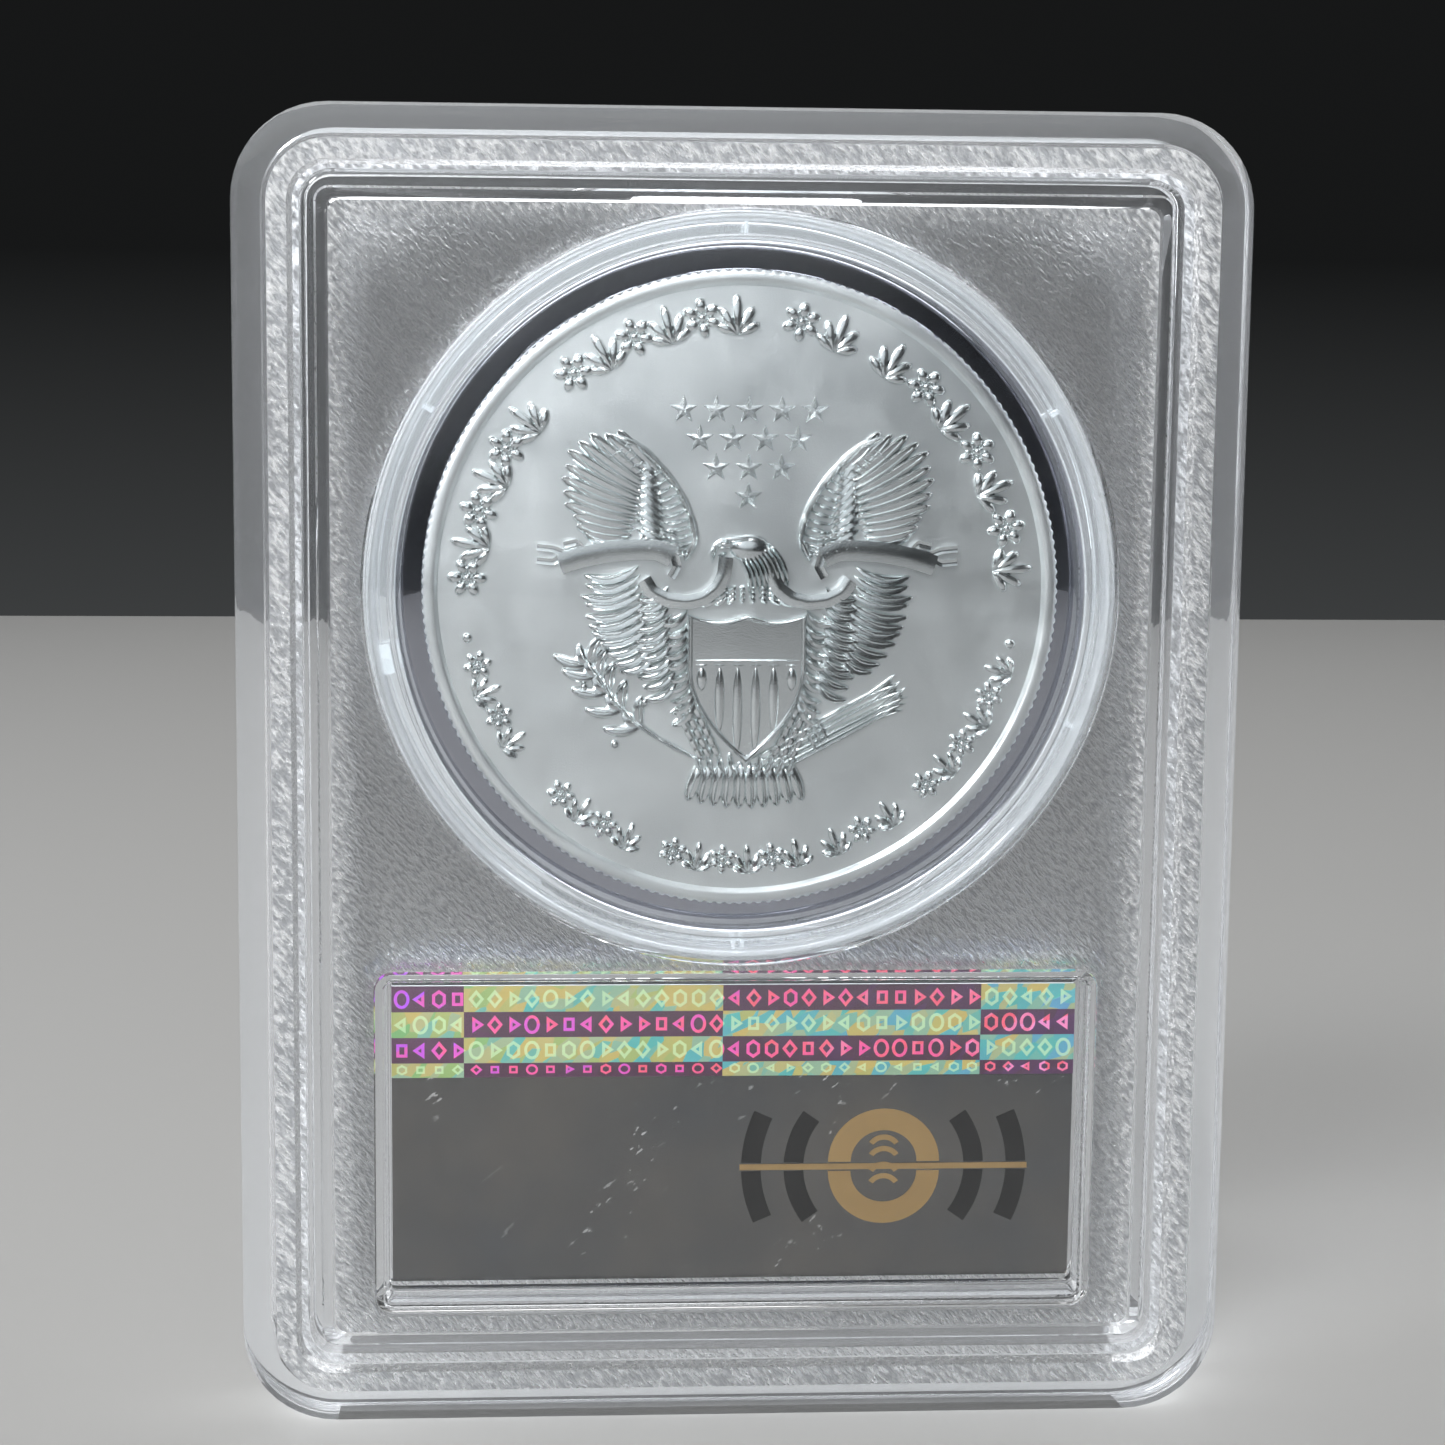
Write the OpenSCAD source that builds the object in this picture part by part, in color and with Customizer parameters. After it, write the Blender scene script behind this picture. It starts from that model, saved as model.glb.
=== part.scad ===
// Sealed two-part coin holder with a one-ounce coin in a clear ring and a label below it.
// The holder stands on its short end: X is its width, Y its thickness, Z its height.
// The back of the holder faces -Y and its front faces +Y. The welded seam lies in the plane Y = 0.

/* [Case] */
// Width of the case
slab_w = 63.5; // [61:0.5:68]
// Height of the case
slab_h = 84.1; // [83.5:0.1:88]
// Thickness of the case over its stacking ridge
slab_t = 7.8; // [7.6:0.1:9]
// Radius of the case's outer corners
corner_r = 6; // [5.8:0.1:7]
// Thickness of each clear panel
panel_t = 1.2; // [0.8:0.1:1.4]
// Radius of the case's long outside edges
edge_r = 0.45; // [0.2:0.05:0.8]

/* [Stacking ridge] */
// Height of the ridge above the back of the case
ridge_rise = 0.8; // [0.4:0.1:1]
// Distance from the case's edge to the foot of the ridge
ridge_from = 1.9; // [1.7:0.1:2.2]
// Width of the ridge at its foot
ridge_w = 1.85; // [1.4:0.05:2]
// Width of the slope on each side of the ridge
ridge_slope = 0.3; // [0.1:0.05:0.5]

/* [Coin] */
// Diameter of the coin
coin_d = 40.6; // [38:0.1:41]
// Thickness of the coin over its rims
coin_t = 2.98; // [2:0.02:3.2]
// Width of the coin's raised rim
coin_rim = 0.9; // [0.5:0.1:1.5]
// Depth of the coin's fields below its rims
field_drop = 0.35; // [0.2:0.05:0.5]
// Number of reeds round the coin's edge
reeds = 160; // [80:10:200]

/* [Coin ring] */
// Outer radius of the clear ring
ring_r = 23.95; // [23.5:0.05:24]
// Height of the coin's centre above the bottom of the case
coin_z = 54; // [53.9:0.1:54.2]
// Clearance between the coin and its ring
coin_gap = 0.06; // [0.02:0.02:0.2]

/* [Label] */
// Width of the label
label_w = 44.6; // [40:0.2:44.8]
// Height of the label
label_h = 20.3; // [18:0.1:20.6]
// Height of the label's centre above the bottom of the case
label_z = 18.3; // [18:0.1:18.5]
// Height of the rainbow strip across the label's back
strip_h = 6.2; // [4:0.1:8]

/* [Hidden] */
$fn = 96;

eps = 0.01;
inside_r = 0.3;                          // smallest inside corner
half_t = slab_t / 2;
back_d = half_t - ridge_rise;            // back of the case beside the ridge
panel_out = back_d;                      // outer face of each clear panel
panel_in = back_d - panel_t;             // inner face of each clear panel
wall_e = 4.2;                            // rim's width, from the case's edge to the inside
frame_e = 5.05;                          // outer foot of the bead round the panel
frame_w = 0.85;
frame_rise = 0.25;
rim_to = frame_e + frame_w + 0.05;       // how far in the swept rim reaches

// Welded seam: a tongue on the back half stands in a groove in the front half
tongue_e = 1.6;
tongue_w = 0.8;
tongue_h = 0.9;
seam_gap = 0.1;

// Front half: the groove that takes the next case's ridge
nest_gap = 0.1;
nest_depth = ridge_rise + nest_gap;
land_to = 5.6;                           // inner edge of the land inside that groove

// Clear ring round the coin
web_in = coin_d / 2 + coin_gap;
web_out = 21.95;
web_t = 1.6;
inner_wall = [21.85, 22.5];              // radii of the ring's inner wall
outer_wall = [23.3, ring_r];             // radii of its outer wall
floor_t = 1.2;
ring_gap = 0.05;                         // between the ring and each panel
ring_half = panel_in - ring_gap;
rib_angles = [30, 90, 150, 266, 274, 338];
rib_t = 0.35;
lens_from = [235, 281];                  // long windows in the ring's floor, low on each side
lens_span = 24;
block_angle = 191;
block_w = 1.9;

// Locating rib on each panel, round the ring
locate_in = ring_r + 0.1;
locate_w = 0.3;
locate_h = 0.7;

// Pocket round the label
pocket_w = label_w + 0.7;
pocket_h = label_h + 1.4;
pocket_r = 1;
pocket_wall = 0.65;
pocket_bead = 0.25;
card_t = 0.4;
film_t = 0.2;
strip_t = 0.1;
pocket_gap = 0.1;                        // between each pocket wall and the other half
ledge_w = 1.4;                           // card shelf inside the front half's pocket

// Marks that the mould's pins leave on the back panel: centre and radius
pin_marks = [[-25.1, 42.9, 1.15], [25.1, 42.9, 1.15], [26, 8.4, 0.6]];
mark_depth = 0.08;

// Coin relief
star_rows = [5, 4, 3, 1];
star_r = 0.95;
star_pitch = 2.08;
star_step = 1.83;                        // from each row of stars down to the next
star_top = 11.5;                         // height of the top row above the coin's centre
design_shift = 0.38;                     // the design sits a little right of the coin's centre
relief = 0.16;
legend_r = 18;                           // radius of the ring of ornaments

clear = [0.86, 0.9, 0.93, 0.35];

// Lays a drawing flat on the back of the holder: its Z becomes -Y, its Y becomes Z
module upright() rotate([90, 0, 0]) children();

// The same for the front of the holder: its Z becomes +Y
module upright_front() rotate([90, 0, 0]) mirror([0, 0, 1]) children();

module round_rect(w, h, r) {
    square([w - 2 * r, h], center = true);
    square([w, h - 2 * r], center = true);
    for (x = [-1, 1], y = [-1, 1])
        translate([x * (w / 2 - r), y * (h / 2 - r)])
            circle(r);
}

module round_frame(w, h, r, wall) {
    difference() {
        round_rect(w, h, r);
        round_rect(w - 2 * wall, h - 2 * wall, max(r - wall / 2, inside_r));
    }
}

function arc(centre, r, from, to, steps) =
    [for (i = [0:steps]) let (a = from + (to - from) * i / steps)
        centre + r * [cos(a), sin(a)]];

// Sweeps a section round the case's outline. The section is drawn with X as the distance
// in from the case's edge and Y as the distance from the seam.
module sweep_rim(section) {
    long = slab_h - 2 * corner_r;
    wide = slab_w - 2 * corner_r;
    for (side = [[0, wide, long, 0], [90, long, wide, 1], [180, wide, long, 0], [270, long, wide, 1]])
        rotate([0, 0, side[0]]) {
            translate([side[1] / 2, side[2] / 2, 0])
                rotate_extrude(angle = 90)
                    turned(section);
            translate([side[1] / 2 + corner_r, side[2] / 2 + eps, 0])
                rotate([90, 0, 0])
                    linear_extrude(side[2] + 2 * eps)
                        mirrored(section);
        }
}

module turned(section) polygon([for (p = section) [corner_r - p[0], p[1]]]);

module mirrored(section) polygon([for (p = section) [-p[0], p[1]]]);

function rear_section() = concat(
    [[0, 0]],
    arc([edge_r, back_d - edge_r], edge_r, 180, 90, 4),
    [[ridge_from, back_d],
     [ridge_from + ridge_slope, half_t],
     [ridge_from + ridge_w - ridge_slope, half_t],
     [ridge_from + ridge_w, back_d],
     [frame_e, back_d],
     [frame_e + 0.15, back_d + frame_rise],
     [frame_e + frame_w - 0.15, back_d + frame_rise],
     [frame_e + frame_w, back_d],
     [rim_to, panel_out],
     [rim_to, panel_in],
     [wall_e, panel_in],
     [wall_e, 0]]);

function front_section() = concat(
    [[0, 0]],
    arc([edge_r, half_t - edge_r], edge_r, 180, 90, 4),
    [[ridge_from - nest_gap, half_t],
     [ridge_from + ridge_slope - nest_gap, half_t - nest_depth],
     [ridge_from + ridge_w - ridge_slope + nest_gap, half_t - nest_depth],
     [ridge_from + ridge_w + nest_gap, half_t],
     [land_to, half_t],
     [rim_to, panel_out],
     [rim_to, panel_in],
     [wall_e, panel_in],
     [wall_e, 0]]);

// Flat panel between its inner and outer faces, with its polished coin and label windows
module panel() {
    difference() {
        translate([0, slab_h / 2, panel_in])
            linear_extrude(panel_t)
                round_rect(slab_w - 2 * wall_e - 1, slab_h - 2 * wall_e - 1, 1.5);
        translate([0, coin_z, panel_out - mark_depth])
            cylinder(h = 1, r = locate_in + locate_w);
    }
}

// Circular rib that keeps the coin ring in place. It stops where the label pocket begins.
module locating_rib() {
    difference() {
        translate([0, coin_z, panel_in - locate_h])
            difference() {
                cylinder(h = locate_h + eps, r = locate_in + locate_w);
                translate([0, 0, -eps])
                    cylinder(h = locate_h + 3 * eps, r = locate_in);
            }
        translate([0, label_z, 0])
            linear_extrude(panel_in)
                square([pocket_w, pocket_h + 2 * pocket_wall - 0.1], center = true);
    }
}

// Wall round the label, from near the other half's wall to a low bead on the outside
module pocket_frame(inner_end) {
    translate([0, label_z, inner_end])
        linear_extrude(panel_out + pocket_bead - inner_end)
            round_frame(pocket_w + 2 * pocket_wall, pocket_h + 2 * pocket_wall,
                        pocket_r, pocket_wall);
}

module rear_shell() {
    color(clear)
        upright() {
            difference() {
                union() {
                    translate([0, slab_h / 2, 0])
                        sweep_rim(rear_section());
                    panel();
                    locating_rib();
                    pocket_frame(pocket_gap);
                    weld_tongue();
                }
                for (m = pin_marks)
                    translate([m[0], m[1], panel_out - mark_depth])
                        cylinder(h = 1, r = m[2]);
            }
        }
}

module weld_tongue() {
    translate([0, slab_h / 2, -tongue_h])
        linear_extrude(tongue_h + eps)
            round_frame(slab_w - 2 * tongue_e, slab_h - 2 * tongue_e,
                        corner_r - tongue_e, tongue_w);
}

module weld_groove() {
    translate([0, slab_h / 2, -eps])
        linear_extrude(tongue_h + seam_gap + eps)
            round_frame(slab_w - 2 * (tongue_e - seam_gap), slab_h - 2 * (tongue_e - seam_gap),
                        corner_r - tongue_e + seam_gap, tongue_w + 2 * seam_gap);
}

module front_shell() {
    color(clear)
        upright_front() {
            difference() {
                union() {
                    translate([0, slab_h / 2, 0])
                        sweep_rim(front_section());
                    panel();
                    locating_rib();
                    pocket_frame(0);
                    label_ledge();
                }
                weld_groove();
            }
        }
}

// Shelf inside the front pocket that the label's face rests against
module label_ledge() {
    translate([0, label_z, card_t])
        linear_extrude(panel_in + eps - card_t)
            round_frame(pocket_w + 2 * eps, pocket_h + 2 * eps, pocket_r - pocket_wall / 2, ledge_w);
}

// A long window through the floor of the ring's channel
module channel_cut(from, span, inner, outer) {
    rotate([0, 0, from])
        rotate_extrude(angle = span)
            translate([inner, -floor_t])
                square([outer - inner, 2 * floor_t]);
}

// A rib across the ring's channel, set a little into both walls and just short of their ends
module channel_rib(angle, thick) {
    bite = 0.2;
    height = 2 * ring_half - 0.1;
    rotate([0, 0, angle])
        translate([inner_wall[1] - bite, -thick / 2, -height / 2])
            cube([outer_wall[0] - inner_wall[1] + 2 * bite, thick, height]);
}

module ring_body() {
    rotate_extrude()
        polygon([
            [web_in, -web_t / 2],
            [inner_wall[0], -web_t / 2],
            [inner_wall[0], -ring_half],
            [inner_wall[1], -ring_half],
            [inner_wall[1], -floor_t / 2],
            [outer_wall[0], -floor_t / 2],
            [outer_wall[0], -ring_half],
            [outer_wall[1], -ring_half],
            [outer_wall[1], ring_half],
            [outer_wall[0], ring_half],
            [outer_wall[0], floor_t / 2],
            [inner_wall[1], floor_t / 2],
            [inner_wall[1], ring_half],
            [inner_wall[0], ring_half],
            [inner_wall[0], web_t / 2],
            [web_in, web_t / 2]]);
}

module coin_ring() {
    color([0.9, 0.93, 0.96, 0.35])
        translate([0, 0, coin_z])
            upright() {
                difference() {
                    ring_body();
                    for (from = lens_from)
                        channel_cut(from, lens_span, inner_wall[1] + 0.05, outer_wall[0] - 0.05);
                }
                for (a = rib_angles)
                    channel_rib(a, rib_t);
                channel_rib(block_angle, block_w);
            }
}

// Outline of the coin with a small V between each pair of reeds
module reeded_disc() {
    reed_depth = 0.12;
    polygon([for (i = [0:2 * reeds - 1])
        let (a = 180 * i / reeds, r = coin_d / 2 - reed_depth * (i % 2))
            r * [cos(a), sin(a)]]);
}

module star() {
    polygon([for (i = [0:9])
        let (a = 90 + 36 * i, r = star_r * (i % 2 == 0 ? 1 : 0.42))
            r * [cos(a), sin(a)]]);
}

module shield() {
    width = 8.2;
    intersection() {
        translate([-width / 2, -10])
            square([width, 10]);
        translate([5.6, 0])
            circle(11.5);
        translate([-5.6, 0])
            circle(11.5);
    }
}

// Raised marks on the back of the coin
module coin_marks() {
    for (row = [0:len(star_rows) - 1], i = [0:star_rows[row] - 1])
        translate([design_shift + (i - (star_rows[row] - 1) / 2) * star_pitch,
                   star_top - row * star_step])
            star();
    translate([design_shift, -1])
        shield();
    for (a = [-4:1:184])
        if (a % 8 == 0)
            rotate([0, 0, a])
                translate([legend_r, 0])
                    square([2, 0.7], center = true);
}

// Raised marks on the front of the coin: a rayed disc
module coin_rays() {
    circle(7);
    for (a = [0:15:345])
        rotate([0, 0, a])
            translate([11.5, 0])
                square([6, 0.6], center = true);
}

module coin() {
    field = coin_t / 2 - field_drop;
    color("silver")
        translate([0, 0, coin_z])
            upright() {
                translate([0, 0, -field])
                    linear_extrude(2 * field)
                        reeded_disc();
                for (side = [0, 1])
                    mirror([0, 0, side])
                        translate([0, 0, field - eps])
                            difference() {
                                cylinder(h = field_drop + eps, r = coin_d / 2 - 0.2);
                                translate([0, 0, -eps])
                                    cylinder(h = field_drop + 3 * eps, r = coin_d / 2 - coin_rim);
                            }
                translate([0, 0, field - eps])
                    linear_extrude(relief + eps)
                        coin_marks();
                translate([0, 0, -field - relief])
                    linear_extrude(relief + eps)
                        coin_rays();
            }
}

module label_card() {
    color([0.93, 0.95, 0.97])
        translate([0, 0, label_z])
            upright_front()
                linear_extrude(card_t)
                    square([label_w, label_h], center = true);
}

module label_film() {
    color([0.55, 0.56, 0.57])
        translate([0, 0, label_z])
            upright()
                linear_extrude(film_t)
                    square([label_w, label_h], center = true);
}

module hologram_strip() {
    color([0.75, 0.3, 0.7])
        translate([0, 0, label_z + (label_h - strip_h) / 2])
            upright()
                translate([0, 0, film_t])
                    linear_extrude(strip_t)
                        square([label_w, strip_h], center = true);
}

rear_shell();
front_shell();
coin_ring();
coin();
label_card();
label_film();
hologram_strip();
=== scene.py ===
from math import atan2, cos, hypot, pi, radians, remainder, sin, sqrt
from random import Random

import bmesh
import bpy
from mathutils import Matrix, Vector


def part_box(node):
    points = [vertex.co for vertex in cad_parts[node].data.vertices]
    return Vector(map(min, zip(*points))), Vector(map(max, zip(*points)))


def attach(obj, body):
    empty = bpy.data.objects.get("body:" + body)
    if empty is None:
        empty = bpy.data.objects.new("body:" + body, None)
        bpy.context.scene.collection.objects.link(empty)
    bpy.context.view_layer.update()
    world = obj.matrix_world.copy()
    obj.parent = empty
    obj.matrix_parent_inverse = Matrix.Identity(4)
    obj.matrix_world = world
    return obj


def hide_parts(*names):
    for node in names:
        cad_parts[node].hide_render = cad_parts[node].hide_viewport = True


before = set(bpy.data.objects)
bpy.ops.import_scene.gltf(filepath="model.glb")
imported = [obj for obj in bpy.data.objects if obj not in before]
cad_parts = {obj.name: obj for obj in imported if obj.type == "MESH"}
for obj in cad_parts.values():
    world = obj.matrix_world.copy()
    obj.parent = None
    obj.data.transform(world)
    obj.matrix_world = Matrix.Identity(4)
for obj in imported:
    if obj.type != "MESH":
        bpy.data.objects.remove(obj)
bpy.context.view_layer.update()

# Shapes are drawn in millimetres on a face: X across, Y up, Z outwards from the case's seam.
# setUpright turns them into the frame, in metres.
mm = 0.001
back, front = -1, 1

caseLow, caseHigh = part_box("front_shell")
caseWide = (caseHigh.x - caseLow.x) / mm
caseTall = (caseHigh.z - caseLow.z) / mm
halfThick = caseHigh.y / mm
ringLow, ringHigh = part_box("coin_ring")
ringRadius = (ringHigh.x - ringLow.x) / 2 / mm
ringHalf = ringHigh.y / mm
coinLow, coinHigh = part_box("coin")
coinRadius = (coinHigh.x - coinLow.x) / 2 / mm
coinHalf = coinHigh.y / mm
coinUp = (coinLow.z + coinHigh.z) / 2 / mm
filmLow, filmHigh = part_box("label_film")
labelWide = (filmHigh.x - filmLow.x) / mm
labelTall = (filmHigh.z - filmLow.z) / mm
labelUp = (filmLow.z + filmHigh.z) / 2 / mm
filmFace = -filmLow.y / mm
foilLow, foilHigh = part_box("hologram_strip")
foilFace = -foilLow.y / mm
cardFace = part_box("label_card")[1].y / mm


# ---- making and placing pieces

def setUpright(bm, outward, up=0.0):
    turn = Matrix(((mm, 0, 0, 0), (0, 0, outward * mm, 0), (0, mm, 0, up * mm), (0, 0, 0, 1)))
    bmesh.ops.transform(bm, matrix=turn, verts=bm.verts)
    bmesh.ops.recalc_face_normals(bm, faces=bm.faces)


def addPiece(name, bm, finishes, sharpAngle=35, node=None):
    mesh = bpy.data.meshes.new(name)
    bm.to_mesh(mesh)
    bm.free()
    for finish in finishes:
        mesh.materials.append(finish)
    mesh.shade_smooth()
    mesh.set_sharp_from_angle(angle=radians(sharpAngle))
    piece = bpy.data.objects.new(name, mesh)
    bpy.context.scene.collection.objects.link(piece)
    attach(piece, "root")
    if node:
        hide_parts(node)
    return piece


def roundLoop(bm, wide, tall, radius, level, middle=0.0, steps=12):
    ring = bmesh.ops.create_circle(bm, segments=4 * steps, radius=radius)["verts"]
    for count, vert in enumerate(ring):
        quarter, part = divmod(count, steps)
        angle = (quarter + part / (steps - 1)) * pi / 2
        right = 1 if quarter in (0, 3) else -1
        above = 1 if quarter in (0, 1) else -1
        vert.co = (right * (wide / 2 - radius) + radius * cos(angle),
                   middle + above * (tall / 2 - radius) + radius * sin(angle), level)
    return edgesOf(ring)


def circleLoop(bm, radius, level, middle=0.0, steps=160):
    place = Matrix.Translation((0, middle, level))
    ring = bmesh.ops.create_circle(bm, segments=steps, radius=radius, matrix=place)["verts"]
    return edgesOf(ring)


def edgesOf(verts):
    # each edge once and in the same order on every run, which a set would not give
    return list(dict.fromkeys(edge for vert in verts for edge in vert.link_edges))


def bridge(bm, loops, finishIndex=None):
    # the later loop is lifted while the two are joined, as loops in one plane would be joined twisted
    for count in range(len(loops) - 1):
        first, second = loops[count], loops[count + 1]
        moved = list(dict.fromkeys(vert for edge in second for vert in edge.verts))
        bmesh.ops.translate(bm, vec=(0, 0, 20), verts=moved)
        made = bmesh.ops.bridge_loops(bm, edges=first + second)
        bmesh.ops.translate(bm, vec=(0, 0, -20), verts=moved)
        for face in made["faces"]:
            face.material_index = finishIndex[count] if finishIndex else 0


def closeEnds(bm, loops):
    for loop in (loops[0], loops[-1]):
        bmesh.ops.contextual_create(bm, geom=loop)


def fillFlat(bm, loops, finishIndex=0):
    edges = [edge for loop in loops for edge in loop]
    made = bmesh.ops.triangle_fill(bm, use_beauty=True, use_dissolve=False, edges=edges)
    for item in made["geom"]:
        if isinstance(item, bmesh.types.BMFace):
            item.material_index = finishIndex


def softenEdges(bm, offset, segments, wanted, least=25):
    bmesh.ops.recalc_face_normals(bm, faces=bm.faces)
    edges = [edge for edge in bm.edges
             if len(edge.link_faces) == 2
             and edge.calc_face_angle() > radians(least)
             and wanted(edge)]
    bmesh.ops.bevel(bm, geom=edges, offset=offset, segments=segments, profile=0.5,
                    affect="EDGES", material=-1, clamp_overlap=True)


# ---- finishes

def newFinish(name):
    finish = bpy.data.materials.new(name)
    finish.use_nodes = True
    tree = finish.node_tree
    return finish, tree, tree.nodes["Principled BSDF"]


def fillSockets(tree, sockets, values):
    for key, value in values.items():
        if isinstance(value, bpy.types.NodeSocket):
            tree.links.new(value, sockets[key])
        else:
            sockets[key].default_value = value


def addNode(tree, kind, inputs=None, **settings):
    made = tree.nodes.new("ShaderNode" + kind)
    for key, value in settings.items():
        setattr(made, key, value)
    fillSockets(tree, made.inputs, inputs or {})
    return made


def setInputs(tree, shader, **values):
    fillSockets(tree, shader.inputs, {key.replace("_", " "): value for key, value in values.items()})


def stretched(tree, stretch, turn=0.0):
    # the pattern is pulled longer along an axis turned about Y
    place = addNode(tree, "TexCoord").outputs["Object"]
    return addNode(tree, "Mapping", {"Vector": place, "Scale": stretch, "Rotation": (0, turn, 0)},
                   vector_type="TEXTURE").outputs[0]


def noise(tree, scale, detail=2.0, roughness=0.5, where=None):
    where = where or stretched(tree, (1, 1, 1))
    return addNode(tree, "TexNoise", {"Vector": where, "Scale": scale, "Detail": detail,
                                      "Roughness": roughness}).outputs["Fac"]


def ranged(tree, value, fromLow, fromHigh, toLow, toHigh):
    return addNode(tree, "MapRange", {0: value, 1: fromLow, 2: fromHigh, 3: toLow,
                                      4: toHigh}).outputs[0]


def maths(tree, how, first, second=0.0):
    return addNode(tree, "Math", {0: first, 1: second}, operation=how).outputs[0]


def blended(tree, amount, first, second):
    mix = addNode(tree, "Mix", {0: amount, 6: first, 7: second}, data_type="RGBA")
    return mix.outputs[2]


def bump(tree, height, distance, strength=1.0):
    return addNode(tree, "Bump", {"Height": height, "Distance": distance,
                                  "Strength": strength}).outputs[0]


def letLampsThrough(tree, shader, tint):
    # lamps reach what lies behind the clear plastic
    clear = addNode(tree, "BsdfTransparent", {"Color": tint}).outputs[0]
    lampRay = addNode(tree, "LightPath").outputs["Is Shadow Ray"]
    both = addNode(tree, "MixShader", {0: lampRay, 1: shader.outputs[0], 2: clear}).outputs[0]
    tree.links.new(both, tree.nodes["Material Output"].inputs["Surface"])


clearLook = {
    "tint": (0.975, 0.985, 1.0, 1),
    "ior": 1.53,
    "roughness": 0.015,
    "lampTint": (0.95, 0.955, 0.96, 1),
    "frostRoughness": (0.5, 0.2),
    "frostDark": (0.42, 0.43, 0.45, 1),
    "frostGrain": 4200,
    "frostEdge": 5.9,
    # painted glow: the most milk the frosting takes where its painted edge glow is full
    "paintedGlowMilk": 0.8,
    "edgeMilk": 0.035,
    # painted reflection: milk that scatters lamp light across the clear ring, standing in for light
    # reflected inside its walls
    "ringPaintedReflectionMilk": 0.16,
    "ringTint": (0.955, 0.985, 1.0, 1),
    # painted shade: the web is tinted dark, standing in for the dark surroundings seen through the gap
    "webPaintedShadeTint": (0.52, 0.53, 0.59, 1),
    "hairlineGrain": 900,
    "hairlineShare": 0.25,
    "waveGrain": 120,
    "waveShare": 0.4,
    "waveHeight": 0.000012,
}


def makeClear(name, tint, milk=0.0):
    # milk is the share of the light that the plastic scatters instead of letting through
    finish, tree, shader = newFinish(name)
    look = clearLook
    hairlines = noise(tree, look["hairlineGrain"], 3, 0.6, stretched(tree, (1, 1, 14), 0.6))
    waves = noise(tree, look["waveGrain"], 1)
    height = maths(tree, "ADD", maths(tree, "MULTIPLY", hairlines, look["hairlineShare"]),
                   maths(tree, "MULTIPLY", waves, look["waveShare"]))
    setInputs(tree, shader, Base_Color=tint, Transmission_Weight=1.0 - milk, IOR=look["ior"],
              Roughness=look["roughness"], Normal=bump(tree, height, look["waveHeight"], 0.5))
    letLampsThrough(tree, shader, look["lampTint"])
    return finish


def paintedGlowMilk(tree, grain):
    # painted glow: the frosting is made milkier, and so whiter, beside the bead, in the panel's upper
    # corners and on the ridge, standing in for light glowing there
    place = addNode(tree, "SeparateXYZ", {0: addNode(tree, "TexCoord").outputs["Object"]})
    edge = clearLook["frostEdge"] * mm
    fromSide = maths(tree, "SUBTRACT", caseWide / 2 * mm - edge, maths(tree, "ABSOLUTE", place.outputs[0]))
    fromTop = maths(tree, "SUBTRACT", caseTall * mm - edge, place.outputs[2])
    nearest = maths(tree, "MINIMUM", fromSide, fromTop)
    corner = maths(tree, "ADD", fromSide, fromTop)
    glow = maths(tree, "ADD", ranged(tree, nearest, 0, 1.4 * mm, 0.75, 0),
                 ranged(tree, corner, 2 * mm, 8 * mm, 0.5, 0))
    return maths(tree, "MULTIPLY", glow, ranged(tree, grain, 0.35, 0.65, 0.15, clearLook["paintedGlowMilk"]))


def makeFrosted(name):
    finish, tree, shader = newFinish(name)
    grain = noise(tree, clearLook["frostGrain"], 2, 0.6, stretched(tree, (1, 1, 2.6), -0.75))
    low, high = clearLook["frostRoughness"]
    rough = ranged(tree, grain, 0.38, 0.62, low, high)
    tint = blended(tree, ranged(tree, grain, 0.4, 0.6, 0, 1), clearLook["frostDark"], clearLook["tint"])
    # the painted glow lowers the frosting's clarity by the panel's edges and on the ridge
    clarity = maths(tree, "SUBTRACT", 1.0, paintedGlowMilk(tree, grain))
    setInputs(tree, shader, Base_Color=tint, Transmission_Weight=clarity,
              IOR=clearLook["ior"], Roughness=rough, Normal=bump(tree, grain, 0.00024, 0.9))
    letLampsThrough(tree, shader, clearLook["lampTint"])
    return finish


coinLook = {
    "light": (0.93, 0.965, 0.965, 1),
    "dark": (0.8, 0.835, 0.84, 1),
    "fieldRoughness": (0.28, 0.4),
    "reliefRoughness": (0.12, 0.2),
}


def makeSilver(name, roughness, grainDepth):
    finish, tree, shader = newFinish(name)
    toning = noise(tree, 110, 4, 0.55)
    colour = blended(tree, ranged(tree, toning, 0.35, 0.65, 0, 1), coinLook["dark"], coinLook["light"])
    grain = noise(tree, 9000, 2, 0.6)
    rough = ranged(tree, noise(tree, 260, 4, 0.6), 0.3, 0.7, *roughness)
    setInputs(tree, shader, Base_Color=colour, Metallic=1.0, Roughness=rough,
              Normal=bump(tree, grain, grainDepth, 0.6))
    return finish


clearPlastic = makeClear("clear_plastic", clearLook["tint"])
edgePlastic = makeClear("edge_plastic", clearLook["tint"], clearLook["edgeMilk"])
# the ring's milk is a painted reflection, brightening the clear ring where light would reflect inside its
# walls
ringPlastic = makeClear("ring_plastic", clearLook["ringTint"], clearLook["ringPaintedReflectionMilk"])
# painted shade: web plastic tinted dark for the dark view through the gap
webPaintedShadePlastic = makeClear("web_plastic_painted_shade", clearLook["webPaintedShadeTint"])
frostedPlastic = makeFrosted("frosted_plastic")
fieldSilver = makeSilver("satin_silver", coinLook["fieldRoughness"], 0.00002)
reliefSilver = makeSilver("struck_silver", coinLook["reliefRoughness"], 0.000008)
print("finishes made")


# ---- the two halves of the case

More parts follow.
